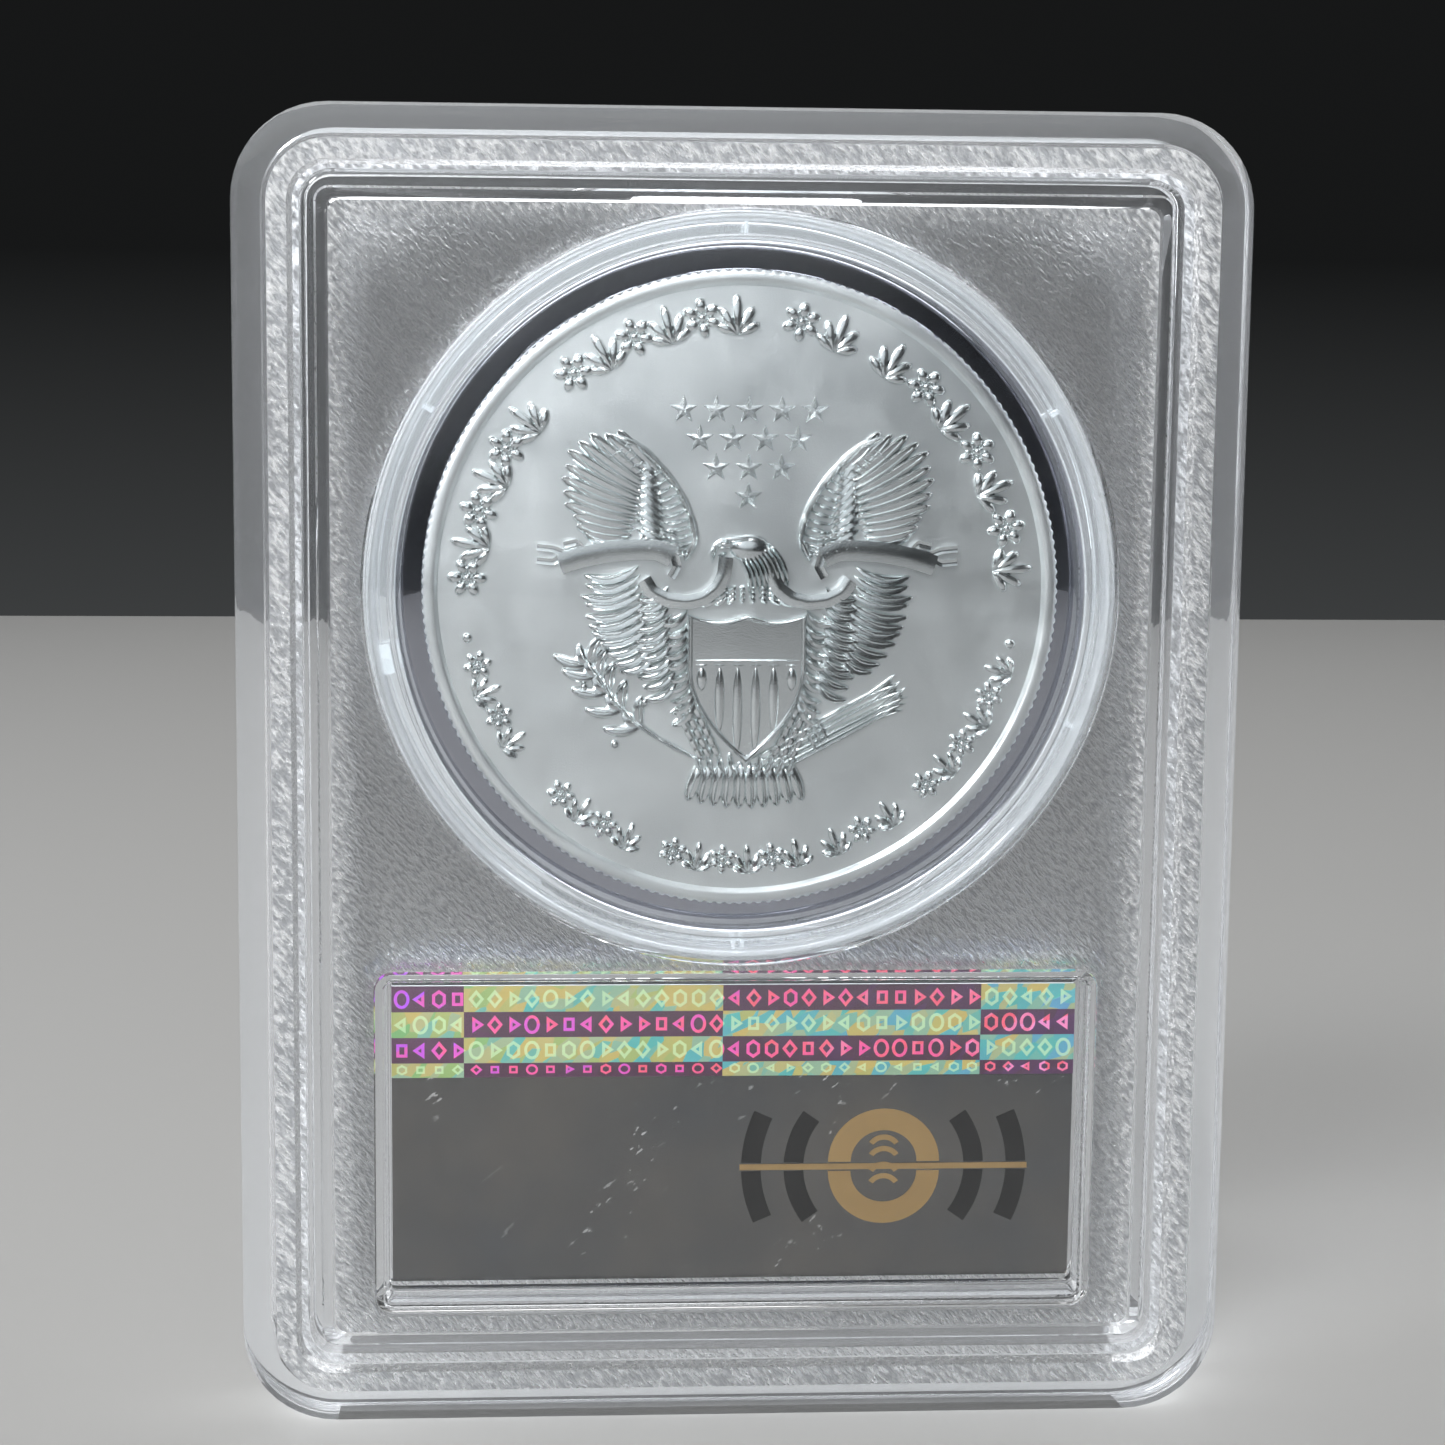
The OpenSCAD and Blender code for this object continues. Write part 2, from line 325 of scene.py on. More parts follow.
caseShape = {
    "cornerRadius": 6.0,
    "innerCornerRadius": 0.8,
    "seamGap": 0.01,
    "backLevel": 3.1,
    "panelInside": 1.9,
    "wall": 4.2,
    "panelEdge": 5.9,
    "ridge": (1.9, 2.2, 3.45, 3.75),
    "bead": (5.05, 5.2, 5.75, 5.9),
    "beadRise": 0.25,
    "nest": (1.8, 2.1, 3.55, 3.85),
    "nestDepth": 0.9,
    "land": 5.6,
    "coinWindow": 24.0,
    "windowDrop": 0.08,
    "rib": (24.2, 24.02),
    "ribHeight": 0.7,
    "pocket": (46.6, 22.8, 1.2),
    "pocketWall": 0.65,
    "ledge": 1.4,
    "outerRound": 0.45,
    "edgeRound": 0.09,
    "mergeWithin": 0.05,
}
clearIndex, frostIndex, edgeIndex = 0, 1, 2
near = 0.01


def caseLoop(bm, inset, level):
    radius = max(caseShape["cornerRadius"] - inset, caseShape["innerCornerRadius"])
    return roundLoop(bm, caseWide - 2 * inset, caseTall - 2 * inset, radius, level, caseTall / 2)


def pocketLoop(bm, inset, level):
    wide, tall, radius = caseShape["pocket"]
    return roundLoop(bm, wide - 2 * inset, tall - 2 * inset, max(radius - inset, 0.4), level,
                     labelUp, steps=8)


def innerWalls(shape):
    # from the panel's inner face down the rim's inner wall to the seam, then out to the edge
    return [(shape["wall"], shape["panelInside"]), (shape["wall"], shape["seamGap"]),
            (0, shape["seamGap"])]


def backSection(shape):
    level, crest = shape["backLevel"], halfThick
    foot, top, topEnd, footEnd = shape["ridge"]
    bead = shape["bead"]
    high = level + shape["beadRise"]
    return innerWalls(shape) + [
        (0, level), (foot, level), (top, crest), (topEnd, crest), (footEnd, level),
        (bead[0], level), (bead[1], high), (bead[2], high), (bead[3], level)]


def frontSection(shape):
    low = halfThick - shape["nestDepth"]
    lip, floorStart, floorEnd, lipEnd = shape["nest"]
    return innerWalls(shape) + [
        (0, halfThick), (lip, halfThick), (floorStart, low), (floorEnd, low),
        (lipEnd, halfThick), (shape["land"], halfThick), (shape["panelEdge"], shape["backLevel"])]


def panelOutside(bm, rim, frosted):
    level = caseShape["backLevel"]
    window = [circleLoop(bm, caseShape["coinWindow"], level, coinUp),
              circleLoop(bm, caseShape["coinWindow"] - 0.06, level - caseShape["windowDrop"], coinUp)]
    bridge(bm, window)
    fillFlat(bm, [window[-1]])
    wall, rise = caseShape["pocketWall"], caseShape["beadRise"]
    label = [pocketLoop(bm, inset, height) for inset, height in
             ((0, level), (0.1, level + rise), (wall - 0.1, level + rise), (wall, level))]
    bridge(bm, label)
    fillFlat(bm, [label[-1]])
    fillFlat(bm, [rim, window[0], label[0]], frostIndex if frosted else clearIndex)


def panelInside(bm, rim, pocketSteps):
    level = caseShape["panelInside"]
    outer, inner = caseShape["rib"]
    low = level - caseShape["ribHeight"]
    rib = [circleLoop(bm, radius, height, coinUp) for radius, height in
           ((outer, level), (outer, low), (inner, low), (inner, level))]
    bridge(bm, rib)
    fillFlat(bm, [rib[-1]])
    pocket = [pocketLoop(bm, inset, height) for inset, height in pocketSteps]
    bridge(bm, pocket)
    fillFlat(bm, [pocket[-1]])
    fillFlat(bm, [rim, rib[0], pocket[0]])


def buildShell(name, section, pocketSteps, outward, frostBand):
    bm = bmesh.new()
    loops = [caseLoop(bm, inset, level) for inset, level in section]
    bands = [frostIndex if frostBand[0] <= count < frostBand[1] else edgeIndex
             for count in range(len(loops) - 1)]
    bridge(bm, loops, bands)
    panelInside(bm, loops[0], pocketSteps)
    panelOutside(bm, loops[-1], True)
    corner = caseShape["cornerRadius"]
    upper = max(level for inset, level in section if inset == 0) - near

    def longEdge(edge):
        flat = all(abs(v.co.x) > caseWide / 2 - near or v.co.y < near or v.co.y > caseTall - near
                   or hypot(abs(v.co.x) - (caseWide / 2 - corner), abs(v.co.y - caseTall / 2)
                            - (caseTall / 2 - corner)) > corner - near for v in edge.verts)
        return flat and all(v.co.z > upper for v in edge.verts)

    softenEdges(bm, caseShape["outerRound"], 5, longEdge)
    # points closer than this would hold the next rounding down to nothing
    bmesh.ops.remove_doubles(bm, verts=bm.verts, dist=caseShape["mergeWithin"])
    softenEdges(bm, caseShape["edgeRound"], 3, lambda edge: True)
    setUpright(bm, outward)
    return addPiece(name, bm, [clearPlastic, frostedPlastic, edgePlastic], 30,
                    "rear_shell" if outward == back else "front_shell")


wall = caseShape["pocketWall"]
inside = caseShape["panelInside"]
seam = caseShape["seamGap"]
backPocket = [(0, inside), (0, 0.1), (wall, 0.1), (wall, inside)]
ledgeTop = cardFace + 0.02
frontPocket = [(0, inside), (0, seam), (wall, seam), (wall, ledgeTop),
               (wall + caseShape["ledge"], ledgeTop), (wall + caseShape["ledge"], inside)]
buildShell("case_back", backSection(caseShape), backPocket, back, (5, 7))
buildShell("case_front", frontSection(caseShape), frontPocket, front, (5, 6))
print("case halves made")


# ---- the clear ring round the coin

ringShape = {
    "web": (20.36, 0.8),
    "innerWall": (21.85, 22.5),
    "outerWall": 23.3,
    "floor": 0.6,
    "ribAngles": (30, 90, 150, 269.3, 270.7, 338),
    "ribThick": 0.3,
    "lensAngles": (247, 292),
    "lensSpan": 24,
    "blockAngle": 191,
    "blockWide": 1.9,
    "windowMargin": 0.12,
    "wallRound": 0.27,
    "webRound": 0.08,
    "ribRound": 0.05,
    "ribGap": 0.03,
    "ribDrop": 0.2,
}


def spinOutline(bm, points, steps=192):
    verts = [bm.verts.new((radius, 0, level)) for radius, level in points]
    edges = [bm.edges.new((first, second)) for first, second in zip(verts, verts[1:])]
    bmesh.ops.spin(bm, geom=verts + edges, cent=(0, 0, 0), axis=(0, 0, 1), dvec=(0, 0, 0),
                   angle=2 * pi, steps=steps, use_merge=True)
    bmesh.ops.remove_doubles(bm, verts=bm.verts, dist=1e-5)


def cutWindow(bm, middleAngle, low, high, floor):
    # a long thin window that narrows to its ends, cut between the floor's two middle circles
    halfSpan = radians(ringShape["lensSpan"] / 2)
    offsets = {}
    for vert in bm.verts:
        radius = hypot(vert.co.x, vert.co.y)
        offset = remainder(atan2(vert.co.y, vert.co.x) - radians(middleAngle), 2 * pi)
        onFloor = abs(abs(vert.co.z) - floor) < 1e-3
        if onFloor and low - 1e-3 < radius < high + 1e-3 and abs(offset) < halfSpan:
            offsets[vert] = offset
    faces = [face for face in bm.faces if all(vert in offsets for vert in face.verts)]
    for vert, offset in offsets.items():
        radius = hypot(vert.co.x, vert.co.y)
        share = sqrt(max(0.05, 1 - (offset / halfSpan) ** 2))
        scale = ((low + high) / 2 + (radius - (low + high) / 2) * share) / radius
        vert.co.x *= scale
        vert.co.y *= scale
    rims = []
    for side in (-1, 1):
        chosen = [face for face in faces if face.calc_center_median().z * side > 0]
        rims.append([edge for edge in bm.edges
                     if len([face for face in edge.link_faces if face in chosen]) == 1])
    bmesh.ops.delete(bm, geom=faces, context="FACES")
    bridge(bm, rims)


def addBox(bm, matrix, size):
    made = bmesh.ops.create_cube(bm, size=1, matrix=matrix @ Matrix.Diagonal((*size, 1)))
    return made["verts"]


def buildRing():
    bm = bmesh.new()
    web, webHalf = ringShape["web"]
    inner, foot = ringShape["innerWall"]
    outer, floor = ringShape["outerWall"], ringShape["floor"]
    low, high = foot + ringShape["windowMargin"], outer - ringShape["windowMargin"]
    lower = [(web, -webHalf), (inner, -webHalf), (inner, -ringHalf), (foot, -ringHalf), (foot, -floor),
             (low, -floor), (high, -floor), (outer, -floor), (outer, -ringHalf), (ringRadius, -ringHalf)]
    upper = [(radius, -level) for radius, level in reversed(lower)]
    spinOutline(bm, lower + upper + lower[:1])
    for angle in ringShape["lensAngles"]:
        cutWindow(bm, angle, low, high, floor)

    def wallTop(edge):
        return all(abs(v.co.z) > ringHalf - near for v in edge.verts)

    def webEdge(edge):
        return all(hypot(v.co.x, v.co.y) < web + near for v in edge.verts)

    softenEdges(bm, ringShape["wallRound"], 5, wallTop)
    softenEdges(bm, ringShape["webRound"], 3, webEdge)
    # the web's faces take the dark-tinted web plastic, a painted shade
    for face in bm.faces:
        middle = face.calc_center_median()
        face.material_index = 1 if hypot(middle.x, middle.y) < inner + 5 * near else 0
    ribs = [(angle, ringShape["ribThick"]) for angle in ringShape["ribAngles"]]
    for angle, thick in ribs + [(ringShape["blockAngle"], ringShape["blockWide"])]:
        turn = Matrix.Rotation(radians(angle), 4, "Z")
        gap = ringShape["ribGap"]
        for side in (-1, 1):
            tall = ringHalf - floor - 2 * gap - ringShape["ribDrop"]
            place = turn @ Matrix.Translation(((foot + outer) / 2, 0, side * (floor + gap + tall / 2)))
            verts = addBox(bm, place, (outer - foot - 2 * gap, thick, tall))
            bmesh.ops.bevel(bm, geom=edgesOf(verts), offset=ringShape["ribRound"], segments=2,
                            profile=0.5, affect="EDGES", material=-1)
    setUpright(bm, back, coinUp)
    return addPiece("coin_holder_ring", bm, [ringPlastic, webPaintedShadePlastic], 30, "coin_ring")


buildRing()
print("coin ring made")


# ---- the coin

coinShape = {
    "reeds": 200,
    "reedDepth": 0.1,
    "rimEdge": 0.14,
    "rimInner": 19.55,
    "rimFlat": 0.34,
    "rimDrop": 0.05,
    "fieldStart": 16.32,
    "fieldEdge": 19.32,
    "fieldDrop": 0.36,
}
fieldLevel = coinHalf - coinShape["fieldDrop"]


def reedLoop(bm, radius, depth, level):
    # four points to a reed: two on its top and two in the groove beside it
    steps = 4 * coinShape["reeds"]
    ring = bmesh.ops.create_circle(bm, segments=steps, radius=radius)["verts"]
    for count, vert in enumerate(ring):
        angle = 2 * pi * count / steps
        reach = radius - (depth if count % 4 > 1 else 0)
        vert.co = (reach * cos(angle), reach * sin(angle), level)
    return edgesOf(ring)


def buildCoin():
    bm = bmesh.new()
    shape = coinShape
    steps = 4 * shape["reeds"]
    shoulder = coinHalf - shape["rimDrop"]
    half = [(shape["fieldStart"], fieldLevel), (shape["fieldEdge"], fieldLevel),
            (shape["rimInner"] - 0.06, shoulder), (shape["rimInner"] + 0.03, coinHalf),
            (coinRadius - shape["rimFlat"], coinHalf), (coinRadius - shape["rimEdge"], shoulder)]
    loops = [circleLoop(bm, radius, level, 0, steps) for radius, level in half]
    loops += [reedLoop(bm, coinRadius, shape["reedDepth"], level)
              for level in (coinHalf - shape["rimEdge"], shape["rimEdge"] - coinHalf)]
    loops += [circleLoop(bm, radius, -level, 0, steps) for radius, level in reversed(half)]
    bridge(bm, loops)
    closeEnds(bm, loops)
    setUpright(bm, back, coinUp)
    return addPiece("coin_body", bm, [fieldSilver], 40, "coin")


buildCoin()
print("coin body made")


# ---- raised design: every part is a low closed shape that starts below the coin's field

def petal(bm, start, end, wide, rise, taper=0.0, bend=0.0, lean=0.0, lift=0.0, ends=8, sides=8):
    # an oval from start to end; bend bows it sideways, lean raises one long side
    verts = bmesh.ops.create_uvsphere(bm, u_segments=sides, v_segments=ends, radius=1)["verts"]
    length = hypot(end[0] - start[0], end[1] - start[1])
    along = Vector((end[0] - start[0], end[1] - start[1])) / length
    across = Vector((-along.y, along.x))
    for vert in verts:
        side, up, t = vert.co.x, vert.co.y, vert.co.z
        reach = (t + 1) / 2 * length
        offset = side * wide / 2 * (1 + taper * t) + bend * (1 - t * t)
        spot = Vector(start) + along * reach + across * offset
        vert.co = (spot.x, spot.y, fieldLevel + lift + up * rise + lean * side)
    return verts


def polar(radius, degrees, middle=(0, 0)):
    return (middle[0] + radius * cos(radians(degrees)), middle[1] + radius * sin(radians(degrees)))


def between(first, second, share):
    return (first[0] + (second[0] - first[0]) * share, first[1] + (second[1] - first[1]) * share)


def alongPath(path, share):
    spot = share * (len(path) - 1)
    place = min(int(spot), len(path) - 2)
    return between(path[place], path[place + 1], spot - place)


def sidePetal(bm, side, start, end, *sizes, **more):
    # drawn for the left half; side -1 puts it on the right
    bend, lean = more.pop("bend", 0) * side, more.pop("lean", 0) * side
    petal(bm, (start[0] * side, start[1]), (end[0] * side, end[1]), *sizes, bend=bend, lean=lean, **more)


def addBand(bm, side, path, wide, rise, curl=0.05, steps=24):
    # a flat ribbon along a path, a little raised at its two long edges
    rows = 4
    grid = bmesh.ops.create_grid(bm, x_segments=steps, y_segments=rows, size=1)["verts"]
    for vert in grid:
        share = (vert.co.x + 1) / 2
        spot = Vector(alongPath(path, share))
        before, after = max(share - 0.06, 0), min(share + 0.06, 1)
        ahead = Vector(alongPath(path, after)) - Vector(alongPath(path, before))
        ahead.normalize()
        across = Vector((-ahead.y, ahead.x)) * vert.co.y * wide / 2
        vert.co = ((spot.x + across.x) * side, spot.y + across.y,
                   fieldLevel + rise + curl * (vert.co.y ** 2))
    faces = list(dict.fromkeys(face for vert in grid for face in vert.link_faces))
    made = bmesh.ops.extrude_face_region(bm, geom=faces)["geom"]
    for item in made:
        if isinstance(item, bmesh.types.BMVert):
            item.co.z = fieldLevel - 0.05


borderShape = {
    "radius": 17.45,
    "upperGroups": ((177.5, 6, 7.1), (128, 6, 7.3), (78, 2, 8.4), (57, 7, 8.7)),
    "lowerGroups": ((196, 4, 5.9), (229, 4, 5.6), (256, 6, 5.3), (291, 3, 6.4), (314, 6, 5.8)),
    "pellets": (190, 349),
    "upperTall": 2.6,
    "lowerTall": 1.95,
}


def addPalmette(bm, degrees, tall, inward):
    # five petals fanned out from one foot
    radius = borderShape["radius"]
    foot = polar(radius - inward * tall * 0.48, degrees)
    for petalTurn in (-62, -31, 0, 31, 62):
        long = tall * (1.0 - 0.0062 * abs(petalTurn))
        tip = polar(long, degrees + petalTurn + (0 if inward > 0 else 180), foot)
        petal(bm, foot, tip, tall * 0.25, 0.32, taper=0.4, ends=6)


def addRosette(bm, degrees, tall):
    middle = polar(borderShape["radius"], degrees)
    for leaf in range(6):
        turn = degrees + 60 * leaf
        petal(bm, polar(tall * 0.1, turn, middle), polar(tall * 0.5, turn, middle), tall * 0.29, 0.3,
              ends=6)
    addPellet(bm, middle, tall * 0.11, 0.27)


def addPellet(bm, spot, radius, rise):
    place = Matrix.Translation((spot[0], spot[1], fieldLevel)) @ Matrix.Diagonal((1, 1, rise / radius, 1))
    bmesh.ops.create_uvsphere(bm, u_segments=16, v_segments=8, radius=radius, matrix=place)


def addBorder(bm, groups):
    way = 1 if groups == "upperGroups" else -1
    tall = borderShape["upperTall"] if way == 1 else borderShape["lowerTall"]
    for start, count, step in borderShape[groups]:
        for place in range(count):
            degrees = start - way * place * step
            if (place + count) % 2:
                addPalmette(bm, degrees, tall, way)
            else:
                addRosette(bm, degrees, tall)


def addPellets(bm):
    for degrees in borderShape["pellets"]:
        addPellet(bm, polar(17.7, degrees), 0.34, 0.22)


starShape = {"rows": (5, 4, 3, 1), "top": 11.5, "pitch": 2.08, "rowPitch": 1.83, "radius": 0.95,
             "waist": 0.4, "rise": 0.34}


def addStar(bm, x, y):
    ring = bmesh.ops.create_circle(bm, segments=10, radius=1)["verts"]
    for count, vert in enumerate(ring):
        reach = starShape["radius"] * (1 if count % 2 == 0 else starShape["waist"])
        spot = polar(reach, 90 + 36 * count)
        vert.co = (x + spot[0], y + spot[1], fieldLevel - 0.05)
    base = bmesh.ops.contextual_create(bm, geom=edgesOf(ring))["faces"]
    made = bmesh.ops.extrude_face_region(bm, geom=base)["geom"]
    top = [item for item in made if isinstance(item, bmesh.types.BMFace)]
    bmesh.ops.translate(bm, vec=(0, 0, 0.1), verts=top[0].verts[:])
    for vert in bmesh.ops.poke(bm, faces=top)["verts"]:
        vert.co.z = fieldLevel + starShape["rise"]


def addStars(bm):
    for row, count in enumerate(starShape["rows"]):
        for place in range(count):
            addStar(bm, (place - (count - 1) / 2) * starShape["pitch"],
                    starShape["top"] - row * starShape["rowPitch"])


wingShape = {
    "fan": (-6.2, 4.2),
    "fanRoots": ((-7.5, 3.1), (-5.8, 7.5)),
    "edge": ((-8.4, 9.75), (-7.0, 9.2), (-5.7, 8.0), (-4.5, 6.5), (-3.7, 4.9), (-3.35, 3.3), (-3.9, 2.1)),
    "feathers": 12,
    "edgeTicks": 16,
}


def addUpperWing(bm, side):
    fan, roots, edge = wingShape["fan"], wingShape["fanRoots"], wingShape["edge"]
    for place in range(wingShape["feathers"]):
        share = place / (wingShape["feathers"] - 1)
        angle = radians(188 - 78 * share)
        squareReach = ((abs(cos(angle)) / 5.6) ** 5 + (abs(sin(angle)) / 5.85) ** 5) ** -0.2
        reach = squareReach * (0.75 + 0.25 * min(1, share * 3)) + 0.16 * (place % 2)
        tip = (fan[0] + reach * cos(angle), fan[1] + reach * sin(angle))
        root = between(*roots, share)
        sidePetal(bm, side, root, tip, 1.02, 0.27, taper=0.14, bend=0.2, lean=-0.2, lift=0.08, ends=10)
        sidePetal(bm, side, between(root, tip, 0.05), between(root, tip, 0.92), 0.13, 0.13, bend=0.2,
                  lift=0.3, ends=6, sides=6)
    for place in range(len(edge) - 1):
        sidePetal(bm, side, between(edge[place], edge[place + 1], -0.2),
                  between(edge[place], edge[place + 1], 1.2), 0.62, 0.5, ends=8)
    for place in range(wingShape["edgeTicks"]):
        share = 0.1 + 0.8 * place / (wingShape["edgeTicks"] - 1)
        start = alongPath(edge, share)
        angle = 228 - 34 * share
        sidePetal(bm, side, polar(0.15, angle, start), polar(1.75, angle - 10, start), 0.34, 0.4,
                  bend=0.08, lift=0.06, ends=6)
    for place in range(9):
        share = place / 8
        root = between((-5.1, 2.9), (-5.6, 6.6), share)
        sidePetal(bm, side, root, polar(2.3, 152 - 30 * share, root), 0.62, 0.4, bend=0.1, lean=-0.1,
                  lift=0.06, ends=6)
    for row in range(3):
        for place in range(5 - row):
            spot = (-4.0 - 0.62 * place - 0.2 * row, 2.3 + 0.55 * row + 0.12 * place)
            sidePetal(bm, side, spot, polar(0.85, 170, spot), 0.5, 0.46, lift=0.06, ends=6)


def addLowerWing(bm, side):
    dice = Random(5)
    ranks = ((11, (-6.9, 1.6), (-5.9, -4.0), (-10.5, 0.9), (-8.3, -5.3), 0.74, 0.3),
             (11, (-5.0, 0.3), (-4.4, -5.6), (-7.3, -0.5), (-6.6, -7.0), 0.7, 0.36),
             (10, (-3.8, -1.2), (-3.3, -6.9), (-5.5, -2.0), (-4.7, -8.6), 0.66, 0.4))
    for rank, (count, topRoot, lowRoot, topTip, lowTip, wide, rise) in enumerate(ranks):
        for place in range(count):
            share = place / (count - 1)
            root = between(topRoot, lowRoot, share)
            tip = between(topTip, lowTip, share)
            bulge = 0.75 * sin(pi * share) if rank == 0 else 0.2 * sin(pi * share)
            tip = (tip[0] - bulge + dice.uniform(-0.16, 0.16), tip[1] + dice.uniform(-0.12, 0.12))
            bow = 0.42 + dice.uniform(-0.1, 0.1)
            sidePetal(bm, side, root, tip, wide, rise, taper=0.22, bend=bow, lean=0.16, lift=0.06, ends=8)
            sidePetal(bm, side, between(root, tip, 0.2), between(root, tip, 0.92), 0.11, 0.11, bend=bow,
                      lift=rise + 0.03, ends=6, sides=6)


def addHead(bm):
    petal(bm, (-1.2, 2.85), (1.5, 2.45), 1.95, 0.5, taper=0.1, ends=12, sides=12)
    petal(bm, (0.3, 3.0), (2.1, 0.1), 1.7, 0.4, bend=0.3, ends=12, sides=12)
    petal(bm, (-0.9, 3.0), (-2.3, 2.75), 0.72, 0.56, taper=-0.25, bend=-0.16, ends=10)
    petal(bm, (-2.0, 2.95), (-2.25, 1.75), 0.42, 0.46, taper=-0.45, bend=-0.1)
    petal(bm, (-1.3, 2.45), (-1.95, 2.2), 0.3, 0.42)
    petal(bm, (-1.5, 3.32), (0.1, 3.42), 0.26, 0.14, lift=0.44, ends=6)
    addPellet(bm, (-0.75, 2.98), 0.16, 0.62)
    for strand in range(9):
        share = strand / 8
        start = between((-0.6, 2.2), (1.3, 3.1), share)
        end = between((0.1, -0.2), (2.6, 0.3), share)
        petal(bm, start, end, 0.4, 0.44, bend=0.28, lean=0.12, lift=0.14, ends=8)
    for row in range(3):
        for strand in range(8):
            across = (strand - 3.5) / 3.5
            root = (across * 1.7, 0.4 - 0.33 * row - 0.2 * across ** 2)
            petal(bm, root, (root[0] + 1.3 * across, root[1] - 0.55), 0.44, 0.36, lean=0.08, lift=0.05,
                  ends=6)


shieldShape = {"wide": 7.6, "top": -1.45, "tall": 9.6, "rise": 0.44, "border": 0.34, "chief": 2.95,
               "straight": 3.4, "stripes": 6}


def shieldOutline(shrink):
    # straight sides that curve in to a point, under a top edge with two shallow dips
    half = shieldShape["wide"] / 2 - shrink
    top = shieldShape["top"] - shrink
    bottom = shieldShape["top"] - shieldShape["tall"] + shrink * 1.5
    straight = top - shieldShape["straight"]
    steps = 10
    right = [(half * (1 - (k / steps) ** 1.9), straight + (bottom - straight) * k / steps)
             for k in range(1, steps)]
    dips = [(half * k / 8, top - 0.4 * abs(sin(pi * k / 8))) for k in range(-8, 9)]
    return dips + [(half, straight)] + right + [(0, bottom)] + \
        [(-x, y) for x, y in reversed(right)] + [(-half, straight)]


def outlineLoop(bm, points, level):
    ring = bmesh.ops.create_circle(bm, segments=len(points), radius=1)["verts"]
    for vert, (x, y) in zip(ring, points):
        vert.co = (x, y, level)
    return edgesOf(ring)


def addShield(bm):
    rise, border = shieldShape["rise"], shieldShape["border"]
    steps = ((0, -0.1), (0, rise), (0.09, rise + 0.12), (0.18, rise + 0.16), (0.27, rise + 0.12),
             (border, rise))
    loops = [outlineLoop(bm, shieldOutline(shrink), fieldLevel + level) for shrink, level in steps]
    bridge(bm, loops)
    closeEnds(bm, loops)
    line = shieldShape["top"] - shieldShape["chief"]
    half = shieldShape["wide"] / 2 - border
    petal(bm, (-half, line), (half, line), 0.2, 0.2, lift=rise)
    for stripe in range(shieldShape["stripes"]):
        share = (stripe + 0.5) / shieldShape["stripes"] * 2 - 1
        x = share * half
        petal(bm, (x - 0.38, line - 0.3), (x + 0.38, line - 0.3), 0.14, 0.12, lift=rise, ends=6, sides=6)
        low = line - 0.4 - 6.0 * (1 - abs(share) ** 1.9) + 0.2
        petal(bm, (x, line - 0.45), (x, low), 0.66, 0.17, lift=rise, ends=12)


def addRibbon(bm, side):
    # a plain band with a forked tail, then a swag held in the beak
    addBand(bm, side, ((-11.95, 1.7), (-10.6, 2.15), (-8.9, 2.5), (-7.2, 2.65), (-5.8, 2.65), (-4.8, 2.2)),
            1.3, 0.5, -0.04)
    addBand(bm, side, ((-4.75, 2.5), (-4.5, 1.6), (-4.9, 0.9)), 0.55, 0.4)
    addBand(bm, side, ((-6.6, 0.75), (-6.1, -0.05), (-5.1, -0.55), (-3.9, -0.7), (-2.8, -0.45), (-1.95, 0.2),
                       (-1.5, 1.1), (-1.4, 2.2)), 0.92, 0.52, -0.1)
    addBand(bm, side, ((-11.7, 2.9), (-10.9, 3.1), (-10.6, 2.8), (-11.6, 2.3)), 0.42, 0.34)
    for fork in (0.42, -0.42):
        addBand(bm, side, ((-11.5, 2.35), (-12.4, 2.25 + fork), (-13.4, 2.35 + fork)), 0.42, 0.3)


def addBranch(bm):
    stem = ((-3.6, -10.6), (-5.6, -9.5), (-7.2, -8.4), (-8.5, -7.0), (-9.3, -5.7), (-10.0, -4.8))
    for first, second in zip(stem, stem[1:]):
        petal(bm, between(first, second, -0.2), between(first, second, 1.2), 0.42, 0.4)
    for place in range(5):
        root = alongPath(stem, 0.34 + 0.165 * place)
        for turn, long in ((50, 2.5), (-45, 2.0), (4, 1.6)):
            tip = polar(long, 134 + turn - 5 * place, root)
            petal(bm, root, tip, 0.86, 0.3, bend=0.16, lean=0.12)
            petal(bm, between(root, tip, 0.1), between(root, tip, 0.9), 0.12, 0.12, bend=0.14,
                  lift=0.27, ends=6, sides=6)
    for spot in ((-6.5, -7.2), (-8.4, -9.9), (-10.4, -6.2)):
        addPellet(bm, spot, 0.3, 0.28)


def addArrows(bm):
    start, end = (0.6, -11.6), (10.2, -6.6)
    for place in range(5):
        shift = (place - 2) * 0.34
        first = (start[0] + shift * 0.5, start[1] - shift)
        last = (end[0] + shift * 0.3 - 0.25 * abs(place - 2), end[1] - shift * 1.25)
        petal(bm, first, last, 0.32, 0.34, lift=0.05, ends=12)
        for fin in (-1, 1):
            heel, tip = between(first, last, 0.8), between(first, last, 1.02)
            petal(bm, heel, (tip[0] + 0.1 * fin, tip[1] - 0.3 * fin), 0.3, 0.32, bend=0.08 * fin)
    for drop in range(3):
        spot = (4.9 - 0.35 * drop, -9.0 - 0.35 * drop)
        petal(bm, (spot[0] - 0.35, spot[1] + 0.8), (spot[0] + 0.45, spot[1] - 0.75), 0.42, 0.5)


